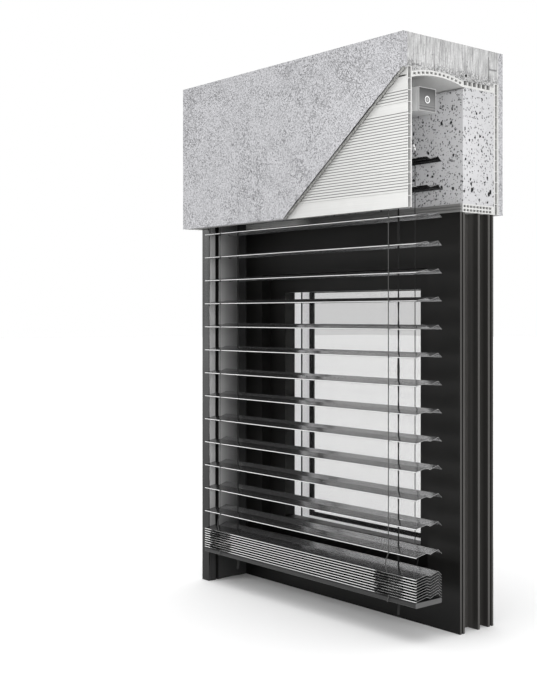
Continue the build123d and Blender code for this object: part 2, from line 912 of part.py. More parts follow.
def build_slat(edge_height):
    """One slat with its tape slots and the end clip that the spigot turns in."""
    with BuildPart() as slat:
        section = Plane((slat_left, slat_front, edge_height), x_dir=(0, 1, 0), z_dir=(1, 0, 0))
        with BuildSketch(section):
            add(slat_profile.sketch)
        extrude(amount=slat_length)
        for place in tape_places:
            with Locations((place, slat_front + tape_slot_front, edge_height)):
                Box(
                    tape_slot_width,
                    tape_slot_length,
                    4 * rear_wing_rise,
                    align=(Align.CENTER, Align.MIN, Align.CENTER),
                    mode=Mode.SUBTRACT,
                )
        clip_front = (slat_width - clip_width) / 2
        clip_back = (slat_width + clip_width) / 2
        with BuildSketch(section):
            with BuildLine():
                Polyline(
                    (clip_front, step_height(clip_front)),
                    (clip_back, step_height(clip_back)),
                    (clip_back, step_height(clip_back) - clip_height),
                    (clip_front, step_height(clip_front) - clip_height),
                    close=True,
                )
            make_face()
            with Locations((slat_width / 2, pin_height)):
                Circle(spigot_diameter / 2 + spigot_clearance, mode=Mode.SUBTRACT)
        extrude(amount=clip_length)
    return slat.part


def build_pin(edge_height):
    """One guide pin: the slider in the groove and the spigot in the slat's clip."""
    with BuildPart() as pin:
        with BuildSketch(Plane.YZ.offset(rail_right - slider_length - seat_gap)):
            with Locations((slat_middle, edge_height + pin_height)):
                Rectangle(
                    groove_width - 2 * liner_thickness - 2 * slider_clearance,
                    slider_height,
                )
        extrude(amount=slider_length)
        with BuildSketch(Plane.YZ.offset(rail_right - slider_length / 2)):
            with Locations((slat_middle, edge_height + pin_height)):
                Circle(spigot_diameter / 2)
        extrude(amount=slider_length / 2 + slat_gap_to_rail + clip_length)
    return pin.part


# Hanging slats and their guide pins, numbered from the lowest
for number in range(1, slat_count + 1):
    edge = lowest_slat_edge + (number - 1) * slat_pitch
    slat_part = build_slat(edge)
    slat_part.label = f"slat_{number:02d}"
    export_step(slat_part, f"parts/slat_{number:02d}.step")
    pin_part = build_pin(edge)
    pin_part.label = f"guide_pin_{number:02d}"
    export_step(pin_part, f"parts/guide_pin_{number:02d}.step")

# Slats already stacked on the bottom rail, with their pins
with BuildPart() as stacked_slats:
    for number in range(stacked_count):
        edge = stack_bottom_edge + number * stack_pitch
        add(build_slat(edge))
        add(build_pin(edge))
stacked_slats.part.label = "stacked_slats"
export_step(stacked_slats.part, "parts/stacked_slats.step")

# Bottom rail: a hollow extrusion with end caps and its own guide pin
rail_section_middle = (slat_middle, bottom_rail_bottom + bottom_rail_height / 2)
with BuildPart() as bottom_rail:
    with BuildSketch(Plane.YZ.offset(slat_left + bottom_cap_thickness)):
        with Locations(rail_section_middle):
            RectangleRounded(slat_width, bottom_rail_height, bottom_rail_radius)
            RectangleRounded(
                slat_width - 2 * bottom_rail_wall,
                bottom_rail_height - 2 * bottom_rail_wall,
                bottom_rail_radius - bottom_rail_wall,
                mode=Mode.SUBTRACT,
            )
    extrude(amount=slat_length - 2 * bottom_cap_thickness)
    for start in (slat_left, unit_right - bottom_cap_thickness):
        with BuildSketch(Plane.YZ.offset(start)):
            with Locations(rail_section_middle):
                RectangleRounded(slat_width, bottom_rail_height, bottom_rail_radius)
        extrude(amount=bottom_cap_thickness)
    with BuildSketch(Plane.YZ.offset(rail_right - slider_length - seat_gap)):
        with Locations(rail_section_middle):
            Rectangle(groove_width - 2 * liner_thickness - 2 * slider_clearance, slider_height)
    extrude(amount=slider_length + seat_gap + slat_gap_to_rail)
bottom_rail.part.label = "bottom_rail"
export_step(bottom_rail.part, "parts/bottom_rail.step")

# Ladder cords: from the tilt rings, spread to the slats' edges, down to the bottom rail
front_cord_y = slat_front - cord_clearance - cord_diameter / 2
rear_cord_y = slat_back + cord_clearance + cord_diameter / 2
cord_bottom = bottom_rail_bottom
cord_hang = (tilt_ring_diameter + cord_diameter) / 2 + cord_clearance
with BuildPart() as ladder_cords:
    for ladder in ladder_places:
        for hang, spread in (
            (shaft_y - cord_hang, front_cord_y),
            (shaft_y + cord_hang, rear_cord_y),
        ):
            with BuildLine() as route:
                FilletPolyline(
                    (ladder, hang, shaft_z),
                    (ladder, hang, cord_spread_top),
                    (ladder, spread, cord_spread_bottom),
                    (ladder, spread, cord_bottom),
                    radius=cord_bend_radius,
                )
            with BuildSketch(Plane((ladder, hang, shaft_z), z_dir=(0, 0, -1))):
                RegularPolygon(cord_diameter / 2, 8)
            sweep(path=route.wires()[0])
ladder_cords.part.label = "ladder_cords"
export_step(ladder_cords.part, "parts/ladder_cords.step")

# Lift tapes: straight from the spools through the slats to the bottom rail
tape_bottom = bottom_rail_top + seat_gap
with BuildPart() as lift_tapes:
    for place in tape_places:
        with Locations((place, slat_middle, tape_bottom)):
            Box(
                tape_width,
                tape_thickness,
                shaft_z - tape_bottom,
                align=(Align.CENTER, Align.CENTER, Align.MIN),
            )
lift_tapes.part.label = "lift_tapes"
export_step(lift_tapes.part, "parts/lift_tapes.step")
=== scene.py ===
"""Looks of the exterior venetian blind: materials, cords, tapes, small fittings, the broken
edge of the render coat, a pale floor, soft light and the camera. Metres, in the CAD frame."""

import math

import bmesh
import bpy
from mathutils import Matrix, Vector, noise


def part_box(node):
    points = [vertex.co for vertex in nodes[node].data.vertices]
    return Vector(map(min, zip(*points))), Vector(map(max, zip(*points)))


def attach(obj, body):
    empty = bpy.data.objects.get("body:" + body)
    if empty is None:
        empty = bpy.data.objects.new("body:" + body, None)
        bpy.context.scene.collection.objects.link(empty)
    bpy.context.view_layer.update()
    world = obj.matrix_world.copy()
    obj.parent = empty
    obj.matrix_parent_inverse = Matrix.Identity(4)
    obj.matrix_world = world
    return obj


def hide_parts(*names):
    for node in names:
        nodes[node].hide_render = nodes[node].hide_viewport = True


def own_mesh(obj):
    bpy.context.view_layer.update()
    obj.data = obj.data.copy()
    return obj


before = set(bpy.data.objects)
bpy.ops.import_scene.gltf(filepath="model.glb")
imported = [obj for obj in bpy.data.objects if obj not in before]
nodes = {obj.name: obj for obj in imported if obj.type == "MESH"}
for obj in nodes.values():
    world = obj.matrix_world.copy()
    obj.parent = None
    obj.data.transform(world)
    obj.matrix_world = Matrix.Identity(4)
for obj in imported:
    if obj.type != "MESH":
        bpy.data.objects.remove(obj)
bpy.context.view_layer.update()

# Faces that the materials follow
coat_low, coat_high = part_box("front_render")
front_panel_low, front_panel_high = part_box("front_panel")
rear_panel_low, rear_panel_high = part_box("rear_panel")
top_panel_low, top_panel_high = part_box("top_panel")
base_panel_low, base_panel_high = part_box("base_panel")
block_low, block_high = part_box("insulation_block")
lintel_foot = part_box("lintel")[0].z
guide_low, guide_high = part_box("guide_rail")
stiles_low, stiles_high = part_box("frame_stiles")
headrail_low, headrail_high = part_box("headrail")
cut_plane = coat_high.x

# The arch of the top panel's underside
arch_rise = 0.012
arch_half_span = (block_low.y - front_panel_high.y) / 2
arch_radius = (arch_half_span**2 + arch_rise**2) / (2 * arch_rise)
arch_middle = (block_low.y + front_panel_high.y) / 2
arch_centre = (0, arch_middle, top_panel_low.z + arch_rise - arch_radius)

# Slats, stack and bottom rail
slat_count = 15
slat_pitch = 0.066
lowest_edge = 0.2053
slat_front = -0.138
slat_middle = -0.093
stack_count = 9
stack_pitch = 0.00645
stack_edge = 0.10313
rail_bottom = 0.0885
rail_top = 0.1005

# Ladder cords and lift tapes
ladder_places = (-0.309, 0.346)
tape_places = (-0.286, 0.335)
front_cord = -0.1393
rear_cord = -0.0467
cord_radius = 0.0011
cord_hang = 0.0213
cord_bend = 0.006
cord_top = 1.2455
spread_top = 1.228
spread_bottom = 1.168
shaft_y = -0.09825
shaft_z = 1.26775
tape_width = 0.006
tape_thickness = 0.0004


def edge_height(number):
    """Height of a hanging slat's front edge."""
    return lowest_edge + (number - 1) * slat_pitch


# Colours
def grey(level):
    return (level, level, level)


def shade(color, factor=1.0):
    """A colour for a node's socket, brightened or darkened."""
    return (*[channel * factor for channel in color], 1)


# Node graphs
class Graph:
    """A material's nodes around one principled shader. A mask is a value from 0 to 1."""

    def __init__(self, name, color, roughness, metallic=0.0, specular=0.5):
        self.material = bpy.data.materials.new(name)
        self.material.use_nodes = True
        self.tree = self.material.node_tree
        self.shader = self.tree.nodes["Principled BSDF"]
        self.color = shade(color)
        self.shader.inputs["Base Color"].default_value = self.color
        self.shader.inputs["Roughness"].default_value = roughness
        self.shader.inputs["Metallic"].default_value = metallic
        self.shader.inputs["Specular IOR Level"].default_value = specular
        self.place = self.tree.nodes.new("ShaderNodeTexCoord").outputs["Object"]
        self.x, self.y, self.z = self.node("SeparateXYZ", [(0, self.place)]).outputs
        self.normal = None

    def node(self, kind, inputs=(), **settings):
        """A new node; inputs holds (socket name or number, value or output) pairs."""
        made = self.tree.nodes.new("ShaderNode" + kind)
        for key, value in settings.items():
            setattr(made, key, value)
        for key, value in inputs:
            if isinstance(value, bpy.types.NodeSocket):
                self.tree.links.new(value, made.inputs[key])
            else:
                made.inputs[key].default_value = value
        return made

    def connect(self, value, socket):
        self.tree.links.new(value, self.shader.inputs[socket])

    def paint(self, color):
        self.connect(color, "Base Color")

    def rough(self, value):
        self.connect(value, "Roughness")

    def bump(self, height, depth, strength):
        """Adds a bump on top of the ones before."""
        inputs = [("Height", height), ("Distance", depth), ("Strength", strength)]
        if self.normal is not None:
            inputs.append(("Normal", self.normal))
        self.normal = self.node("Bump", inputs).outputs[0]
        self.connect(self.normal, "Normal")

    def mix(self, factor, first, second):
        inputs = [(0, factor), (6, first), (7, second)]
        return self.node("Mix", inputs, data_type="RGBA").outputs[2]

    # Sums
    def math(self, operation, first, second=0.0):
        return self.node("Math", [(0, first), (1, second)], operation=operation).outputs[0]

    def times(self, *factors):
        """The product of masks and numbers."""
        result = factors[0]
        for factor in factors[1:]:
            result = self.math("MULTIPLY", result, factor)
        return result

    def largest(self, *masks):
        result = masks[0]
        for mask in masks[1:]:
            result = self.math("MAXIMUM", result, mask)
        return result

    # Masks
    def span(self, value, low, high, out_low, out_high):
        """Maps low..high to out_low..out_high, clamped."""
        inputs = [(0, value), (1, low), (2, high), (3, out_low), (4, out_high)]
        return self.node("MapRange", inputs).outputs[0]

    def rise(self, value, low, high, most=1.0):
        """0 up to low, growing to most at high."""
        return self.span(value, low, high, 0.0, most)

    def fall(self, value, low, high, most=1.0):
        """most up to low, shrinking to 0 at high."""
        return self.span(value, low, high, most, 0.0)

    def above(self, value, edge, blur=0.0002):
        return self.rise(value, edge - blur, edge + blur)

    def below(self, value, edge, blur=0.0002):
        return self.fall(value, edge - blur, edge + blur)

    def within(self, value, low, high, blur=0.0002):
        return self.times(self.above(value, low, blur), self.below(value, high, blur))

    def near(self, value, middle, inner, outer):
        """1 within inner of the middle, 0 beyond outer."""
        off = self.math("ABSOLUTE", self.math("SUBTRACT", value, middle))
        return self.fall(off, inner, outer)

    # Places and patterns
    def vector(self, operation, inputs):
        return self.node("VectorMath", inputs, operation=operation).outputs

    def stretched(self, stretch, shift=(0, 0, 0), place=None):
        """Object coordinates, or another place, scaled per axis."""
        inputs = [("Vector", place or self.place), ("Scale", stretch), ("Location", shift)]
        return self.node("Mapping", inputs).outputs[0]

    def distance(self, centre, stretch=(1, 1, 1)):
        """Distance from a point; a stretch of 0 leaves that axis out."""
        return self.vector("DISTANCE", [(0, self.stretched(stretch)), (1, centre)])["Value"]

    def warped(self, scale, reach):
        """Object coordinates pushed about by noise, by up to half of reach."""
        inputs = [("Vector", self.place), ("Scale", scale), ("Detail", 2.0)]
        push = self.node("TexNoise", inputs).outputs["Color"]
        push = self.vector("SUBTRACT", [(0, push), (1, (0.5, 0.5, 0.5))])[0]
        push = self.vector("SCALE", [(0, push), ("Scale", reach)])[0]
        return self.vector("ADD", [(0, self.place), (1, push)])[0]

    def noise(self, scale, detail=2.0, rough=0.5, stretch=(1, 1, 1), shift=(0, 0, 0), distortion=0):
        """Noise around 0.5."""
        inputs = [
            ("Vector", self.stretched(stretch, shift)),
            ("Scale", scale),
            ("Detail", detail),
            ("Roughness", rough),
            ("Distortion", distortion),
        ]
        return self.node("TexNoise", inputs).outputs["Fac"]

    def stray(self, scale, reach):
        """Noise around 0, up to half of reach each way."""
        return self.times(self.math("SUBTRACT", self.noise(scale, detail=3.0), 0.5), reach)

    def cells(self, scale, feature="F1", place=None):
        """Outputs of a cell pattern."""
        inputs = [("Vector", place or self.place), ("Scale", scale)]
        return self.node("TexVoronoi", inputs, feature=feature).outputs

    def contour_lines(self, scale, width, patch_scale, patch_low, patch_high, shift=(0, 0, 0)):
        """Thin wandering lines that show in patches: 1 on a line, 0 beside it."""
        line = self.near(self.noise(scale, distortion=0.6, shift=shift), 0.5, 0.0, width)
        patch = self.rise(self.noise(patch_scale, shift=shift), patch_low, patch_high)
        return self.times(line, patch)


# Materials
def make_plaster(name, color):
    """Mineral render: sandy grain, dark pits, pale flecks, short creases and wandering cracks."""
    g = Graph(name, color, roughness=0.85, specular=0.25)
    grain = g.noise(240, rough=0.75)
    fine = g.noise(620, rough=0.6)
    pits = g.fall(g.noise(330, rough=0.6, shift=(3, 1, 2)), 0.33, 0.41)
    flecks = g.rise(g.noise(290, rough=0.6, shift=(7, 5, 2)), 0.60, 0.66, most=0.7)
    seams = g.cells(150, "DISTANCE_TO_EDGE", g.warped(120, 0.012))["Distance"]
    short = g.rise(g.noise(230, detail=1.0, shift=(6, 3, 1)), 0.49, 0.54)
    crowd = g.span(g.noise(16, rough=0.6, shift=(1, 8, 4)), 0.42, 0.58, 0.45, 0.8)
    creases = g.times(g.fall(seams, 0.06, 0.16), short, crowd)
    cracks = g.contour_lines(42, 0.020, 9, 0.50, 0.56)
    webs = g.contour_lines(95, 0.040, 13, 0.56, 0.62, shift=(5, 2, 7))
    lines = g.largest(cracks, g.times(webs, 0.35), creases)
    body = g.mix(g.rise(grain, 0.40, 0.60), shade(color, 0.92), shade(color, 1.13))
    body = g.mix(g.rise(fine, 0.35, 0.65, most=0.35), body, shade(color, 1.15))
    body = g.mix(flecks, body, shade(color, 1.5))
    body = g.mix(g.times(pits, 0.65), body, shade(color, 0.42))
    body = g.mix(g.times(lines, 0.85), body, shade(color, 0.22))
    g.paint(body)
    g.bump(grain, depth=0.0010, strength=0.5)
    g.bump(g.largest(lines, pits), depth=-0.0012, strength=0.8)
    return g.material


def make_broken_edge(name, color):
    """The broken edge of the render: coarse grains between two dark lines; the back one is painted
    shadow where the render meets the panel.
    """
    g = Graph(name, color, roughness=0.95, specular=0.15)
    grains = g.noise(260, detail=3.0, rough=0.7)
    depth = g.math("ADD", g.y, g.stray(90, 0.008))
    front = g.fall(depth, coat_low.y + 0.0005, coat_low.y + 0.0030)
    # Painted shadow along the back of the edge, where the render meets the panel
    back = g.rise(depth, coat_high.y - 0.0035, coat_high.y - 0.0007)
    body = g.mix(g.rise(grains, 0.36, 0.64), shade(color, 0.5), shade(color, 1.5))
    body = g.mix(g.times(front, 0.75), body, shade(color, 0.25))
    body = g.mix(g.times(back, 0.9), body, shade(color, 0.12))
    g.paint(body)
    g.bump(grains, depth=0.0016, strength=0.9)
    return g.material


def make_plastic(name, color, roughness, grain=0.05):
    """Extruded plastic: draw lines along X, faint clouding."""
    g = Graph(name, color, roughness, specular=0.4)
    lines = g.noise(900, rough=0.6, stretch=(0.01, 1, 1))
    clouds = g.noise(30)
    body = g.mix(g.rise(lines, 0.3, 0.7), shade(color, 1 - grain), shade(color, 1 + grain))
    body = g.mix(g.rise(clouds, 0.35, 0.7, most=0.5), body, shade(color, 1 - 1.5 * grain))
    g.paint(body)
    g.rough(g.span(clouds, 0.3, 0.7, roughness - 0.06, roughness + 0.08))
    g.bump(lines, depth=0.0002, strength=0.35)
    return g.material


def rib_groove_shade(g):
    """Mask of the painted shade in the grooves between the ribs outside the front panel: the upper
    part of each groove, under the rib above. Each row of ribs has its top's height over the
    panel's foot and its count; step grows from 0 to 1 in each pitch."""
    rib_pitch = 0.00675
    rib_depth = 0.0015
    upper_ribs = (0.274, 5)
    lower_ribs = (0.223, 28)
    grooves = 0.0
    for height, count in (upper_ribs, lower_ribs):
        top = front_panel_low.z + height
        foot = top - count * rib_pitch + 0.0018
        step = g.math("FRACT", g.math("DIVIDE", g.math("SUBTRACT", top, g.z), rib_pitch))
        groove = g.times(g.rise(step, 0.645, 0.67), g.fall(step, 0.86, 0.96))
        row = g.times(groove, g.rise(g.z, foot, foot + 0.0002), g.fall(g.z, top, top + 0.0002))
        grooves = g.largest(grooves, row)
    return g.times(grooves, g.below(g.y, front_panel_low.y + rib_depth + 0.0007))


def cell_shadows(g, over_arch):
    """Mask of the walls in the panels' open cells, which dim with depth."""
    front = g.within(g.y, front_panel_low.y + 0.0025, front_panel_high.y - 0.0025)
    rear = g.within(g.y, rear_panel_low.y + 0.0039, rear_panel_high.y - 0.0039)
    arched = g.times(g.within(over_arch, 0.0049, 0.0084), g.below(g.y, block_low.y - 0.0012))
    flat = g.times(
        g.above(g.z, top_panel_low.z + 0.0012),
        g.within(g.y, block_low.y + 0.0012, block_high.y - 0.0012),
    )
    base = g.times(
        g.within(g.z, base_panel_low.z + 0.0023, base_panel_high.z - 0.0023),
        g.above(g.y, block_low.y + 0.0012),
    )
    patches = g.span(g.noise(120), 0.42, 0.56, 0.25, 0.85)
    flat_and_front = g.times(g.largest(flat, front), 0.72)
    inside = g.largest(arched, base, flat_and_front, g.times(rear, patches))
    return g.times(inside, g.fall(g.x, cut_plane - 0.0096, cut_plane - 0.0006))


def crown_fill(g, over_arch, color):
    """Coarse fill above the top panel's cells, on the cut face: its colour and its mask."""
    speck = g.noise(230, detail=3.0, rough=0.7)
    holes = g.rise(g.noise(300, rough=0.6, shift=(4, 2, 9)), 0.52, 0.58, most=0.85)
    fill = g.mix(g.rise(speck, 0.36, 0.6), shade(color, 0.55), shade(color, 1.15))
    fill = g.mix(holes, fill, shade(color, 0.10))
    soft = 0.0005
    arched = g.times(g.above(over_arch, 0.0127, soft), g.below(g.y, block_low.y, soft))
    flat = g.times(g.above(g.z, top_panel_high.z - 0.0105), g.above(g.y, block_low.y, soft))
    return fill, g.times(g.largest(arched, flat), g.above(g.x, cut_plane - 0.0004))


def make_panel(name, color, crown=None):
    """Extruded hollow panel: draw lines, painted shade in the grooves under the ribs, cells that
    dim with depth, and a front edge painted light, paler than the plastic, with painted shade
    over it at the right. crown is the colour of the fill above the top panel's cells."""
    g = Graph(name, color, roughness=0.45, specular=0.35)
    lines = g.noise(900, rough=0.6, stretch=(0.01, 1, 1))
    clouds = g.noise(30)
    over_arch = g.math("SUBTRACT", g.distance(arch_centre, stretch=(0, 1, 1)), arch_radius)
    body = g.mix(g.rise(lines, 0.3, 0.7), shade(color, 0.95), shade(color, 1.04))
    body = g.mix(g.rise(clouds, 0.35, 0.7, most=0.5), body, shade(color, 0.94))
    # Painted shade in the grooves under the ribs
    body = g.mix(g.times(rib_groove_shade(g), 0.85), body, shade(color, 0.22))
    body = g.mix(g.times(cell_shadows(g, over_arch), 0.96), body, shade(color, 0.05))
    # The base panel's front edge: painted light, brighter than the plastic, with painted shade over
    # it at the right
    edge = g.times(
        g.within(g.y, base_panel_low.y - 0.0017, block_low.y - 0.0007),
        g.below(g.z, base_panel_high.z + 0.0003),
    )
    shaded_edge = g.times(edge, g.rise(g.x, -0.17, -0.10, most=0.85))
    body = g.mix(edge, body, shade(color, 1.55))
    body = g.mix(shaded_edge, body, shade(color, 0.10))
    if crown:
        fill, fill_mask = crown_fill(g, over_arch, crown)
        body = g.mix(fill_mask, body, fill)
    g.paint(body)
    g.rough(g.span(clouds, 0.3, 0.7, 0.40, 0.52))
    g.bump(lines, depth=0.0002, strength=0.35)
    return g.material


def make_lintel(name, color):
    """Cast lightweight concrete: streaks, pores, hairline cracks, a bent seam and a chip."""
    seam_y = 0.1245
    seam_z = 1.3705
    chip_place = (cut_plane, 0.0395, 1.3425)
    g = Graph(name, color, roughness=0.9, specular=0.2)
    streaks = g.noise(210, detail=3.0, rough=0.65, stretch=(1, 1, 0.12))
    mottle = g.noise(190, detail=3.0, rough=0.7)
    clouds = g.noise(35, rough=0.6, stretch=(1, 1, 0.6))
    pores = g.fall(g.noise(190, rough=0.6, shift=(2, 5, 1)), 0.28, 0.37)
    cracks = g.contour_lines(22, 0.014, 9, 0.5, 0.62, shift=(1, 4, 9))
    stray = g.stray(60, 0.006)
    upright = g.near(g.math("ADD", g.y, stray), seam_y, 0.0010, 0.0030)
    upright = g.times(upright, g.fall(g.z, 1.398, 1.402))
    level = g.near(g.math("ADD", g.z, stray), seam_z, 0.0010, 0.0030)
    level = g.times(level, g.rise(g.y, 0.122, 0.126), g.fall(g.y, 0.150, 0.158))
    seam = g.largest(upright, level)
    chip = g.fall(g.math("ADD", g.distance(chip_place), stray), 0.0030, 0.0045)
    foot = g.fall(g.z, lintel_foot + 0.004, lintel_foot + 0.022)
    foot = g.times(foot, g.rise(mottle, 0.47, 0.55))
    body = g.mix(g.rise(streaks, 0.38, 0.60), shade(color, 0.50), shade(color, 1.25))
    body = g.mix(g.rise(mottle, 0.38, 0.62, most=0.6), body, shade(color, 0.78))
    body = g.mix(g.times(foot, 0.85), body, shade(color, 0.12))
    body = g.mix(g.rise(clouds, 0.35, 0.7, most=0.4), body, shade(color, 1.15))
    body = g.mix(g.times(pores, 0.6), body, shade(color, 0.4))
    body = g.mix(g.times(cracks, 0.6), body, shade(color, 0.35))
    body = g.mix(g.times(seam, 0.75), body, shade(color, 0.28))
    body = g.mix(chip, body, shade(color, 0.03))
    g.paint(body)
    g.bump(mottle, depth=0.0008, strength=0.6)
    g.bump(g.largest(pores, seam, chip), depth=-0.0015, strength=0.8)
    return g.material


def make_foam(name, color):
    """Bead foam with dark irregular voids, taller than wide."""
    g = Graph(name, color, roughness=0.8, specular=0.2)
    place = g.warped(260, 0.0075)

    def voids(scale, squeeze, low, high, widest):
        """Voids in some of a pattern's cells; low and high say in how many of them."""
        cells = g.cells(scale, place=g.stretched((1, 1, squeeze), place=place))
        luck = g.node("SeparateColor", [(0, cells["Color"])]).outputs[0]
        size = g.rise(luck, low, high, most=widest)
        return g.rise(g.math("SUBTRACT", size, cells["Distance"]), 0.0, 0.03)

    large = voids(30, 0.72, 0.40, 0.75, 0.15)
    middle = voids(62, 0.80, 0.30, 0.95, 0.24)
    small = g.largest(voids(135, 0.85, 0.0, 0.8, 0.36), voids(190, 0.9, 0.2, 0.9, 0.40))
    dark = g.largest(large, middle, g.times(small, 0.8))
    seams = g.fall(g.cells(240, "DISTANCE_TO_EDGE", place)["Distance"], 0.0, 0.09)
    body = g.mix(g.rise(g.noise(28), 0.35, 0.7, most=0.5), g.color, shade(color, 0.93))
    body = g.mix(g.times(seams, 0.10), body, shade(color, 0.7))
    body = g.mix(dark, body, (0.012, 0.012, 0.013, 1))
    g.paint(body)
    g.bump(seams, depth=-0.0003, strength=0.5)
    g.bump(dark, depth=-0.0020, strength=0.7)
    return g.material


def make_slat_paint(name, color, metallic, roughness, cut_end, rim=None):
    """Coil-coated aluminium: satin, faint flow along X, a bare cut end. A slat also has a rim:
    painted reflection makes its rear wing light and its front wing darker, its bead has painted
    shade and its rolled rim a painted highlight, and the slats up in the box get painted shade."""
    g = Graph(name, color, roughness, metallic=metallic)
    flow = g.noise(14, detail=1.0, stretch=(0.1, 1, 1))
    body = g.mix(g.rise(flow, 0.35, 0.65), shade(color, 0.96), shade(color, 1.04))
    if rim:
        # Painted reflection: the rear wing lighter, the front wing darker
        front_wing = g.fall(g.y, slat_middle - 0.0035, slat_middle)
        body = g.mix(front_wing, shade(color, 1.9), shade(color, 0.66))
        body = g.mix(g.rise(flow, 0.35, 0.65, most=0.12), body, shade(color, 0.5))
        # Painted shade on the slats up in the box
        in_box = g.rise(g.z, front_panel_low.z + 0.026, front_panel_low.z + 0.046, most=0.9)
        body = g.mix(in_box, body, shade(color, 0.10))
        # Painted shade on the bead
        bead = g.fall(g.y, slat_front + 0.0026, slat_front + 0.0030, most=0.85)
        body = g.mix(bead, body, shade(color, 0.12))
        # Painted highlight on the rolled rim
        body = g.mix(g.fall(g.y, slat_front + 0.0002, slat_front + 0.00045), body, shade(rim))
    body = g.mix(g.rise(g.x, cut_plane - 0.00045, cut_plane - 0.0002), body, shade(cut_end))
    g.paint(body)
    return g.material


def make_rail(name, color):
    """Anodised guide rail: even and glossy. Its front darkens towards the foot as painted
    reflection, the whole rail is darker near its foot, and the flank beside the slats has painted
    shade, deeper inward and at the window, and is darker at its foot."""
    g = Graph(name, color, roughness=0.16, metallic=1.0)
    draw = g.noise(60, detail=1.0, stretch=(1, 1, 0.01))
    body = g.mix(g.rise(draw, 0.35, 0.65), shade(color, 0.94), shade(color, 1.06))
    # Painted reflection: the front darkens towards the foot
    front = g.fall(g.y, guide_low.y + 0.001, guide_low.y + 0.003)
    low = g.math("ADD", g.span(g.z, 0.60, 1.00, 0.89, 0.51), g.fall(g.z, 0.28, 0.60, most=0.08))
    body = g.mix(g.times(front, low), body, shade(color, 0.06))
    body = g.mix(g.fall(g.z, 0.09, 0.26, most=0.72), body, shade(color, 0.06))
    # Painted shade on the flank beside the slats
    flank = g.times(
        g.rise(g.x, guide_high.x - 0.0040, guide_high.x - 0.0033),
        g.rise(g.y, guide_low.y + 0.003, guide_low.y + 0.004),
    )
    inward = g.rise(g.y, -0.0850, -0.0200, most=0.72)
    at_window = g.rise(g.y, -0.0165, -0.0145, most=0.95)
    at_foot = g.fall(g.z, 0.10, 0.15, most=0.93)
    dark = g.times(flank, g.largest(inward, at_window, at_foot))
    body = g.mix(dark, body, shade(color, 0.03))
    g.paint(body)
    g.rough(g.largest(g.span(draw, 0.35, 0.65, 0.14, 0.18), g.times(flank, 0.5)))
    g.connect(g.math("SUBTRACT", 1.0, g.times(flank, 0.85)), "Metallic")
    return g.material


def make_spacer(name, color, seal_y, seal_half):
    """Spacer between the panes: pale metal with fine vent dots and a dark seal at the middle
    pane. It glows a little, so that it stays pale between the panes."""
    g = Graph(name, color, roughness=0.45, metallic=0.1)
    dots = g.cells(420)["Distance"]
    body = g.mix(g.fall(dots, 0.10, 0.16, most=0.18), g.color, shade(color, 0.45))
    seal = g.near(g.y, seal_y, seal_half, seal_half + 0.0002)
    body = g.mix(seal, body, shade(grey(0.006)))
    g.paint(body)
    g.connect(body, "Emission Color")
    g.shader.inputs["Emission Strength"].default_value = 0.28
    g.rough(g.span(dots, 0.1, 0.5, 0.5, 0.4))
    return g.material


def make_coated(name, color, metallic, roughness):
    """Coated metal: leathery grain and faint draw lines along X."""
    g = Graph(name, color, roughness, metallic=metallic)
    draw = g.noise(800, rough=0.6, stretch=(0.006, 1, 1))
    grain = g.noise(1500, rough=0.6)
    clouds = g.noise(9)
    g.paint(g.mix(g.rise(clouds, 0.35, 0.7), shade(color, 0.88), shade(color, 1.15)))
    g.rough(g.span(draw, 0.3, 0.7, roughness - 0.05, roughness + 0.07))
    g.bump(draw, depth=0.00012, strength=0.25)
    g.bump(grain, depth=0.00015, strength=0.35)
    return g.material


def make_frame(name, foil, core, stretch):
    """Window profile: dark grained foil on the faces, with painted shade towards the foot, and a
    lighter bare core on the outer side, painted lighter still as light for its lit recesses and
    darker towards the fins' tips.
    """
    half_width = (stiles_high.x - stiles_low.x) / 2
    g = Graph(name, foil, roughness=0.4, specular=0.25)
    draw = g.noise(600, detail=3.0, rough=0.6, stretch=stretch)
    grain = g.noise(1300, rough=0.6)
    clouds = g.noise(9)
    off = g.math("ABSOLUTE", g.math("SUBTRACT", g.x, stiles_low.x + half_width))
    outer = g.rise(off, half_width - 0.037, half_width - 0.034)
    outer = g.times(outer, g.above(g.y, stiles_low.y + 0.0004))
    tip = g.rise(off, half_width - 0.020, half_width - 0.012)
    tip = g.times(tip, g.fall(off, half_width - 0.0004, half_width - 0.0001))
    body = g.mix(g.rise(clouds, 0.35, 0.7), shade(foil, 0.85), shade(foil, 1.2))
    # Painted shade towards the foot
    body = g.mix(g.fall(g.z, 0.07, 0.14, most=0.8), body, shade(foil, 0.1))
    # The outer side: the bare core, painted lighter still as light for its lit recesses, darker
    # towards the fins' tips
    bare = g.mix(g.rise(draw, 0.35, 0.65), shade(core, 0.88), shade(core, 1.10))
    bare = g.mix(tip, bare, shade(core, 0.45))
    g.paint(g.mix(outer, body, bare))
    g.rough(g.span(draw, 0.3, 0.7, 0.34, 0.46))
    g.bump(draw, depth=0.00010, strength=0.25)
    g.bump(grain, depth=0.00012, strength=0.3)
    return g.material


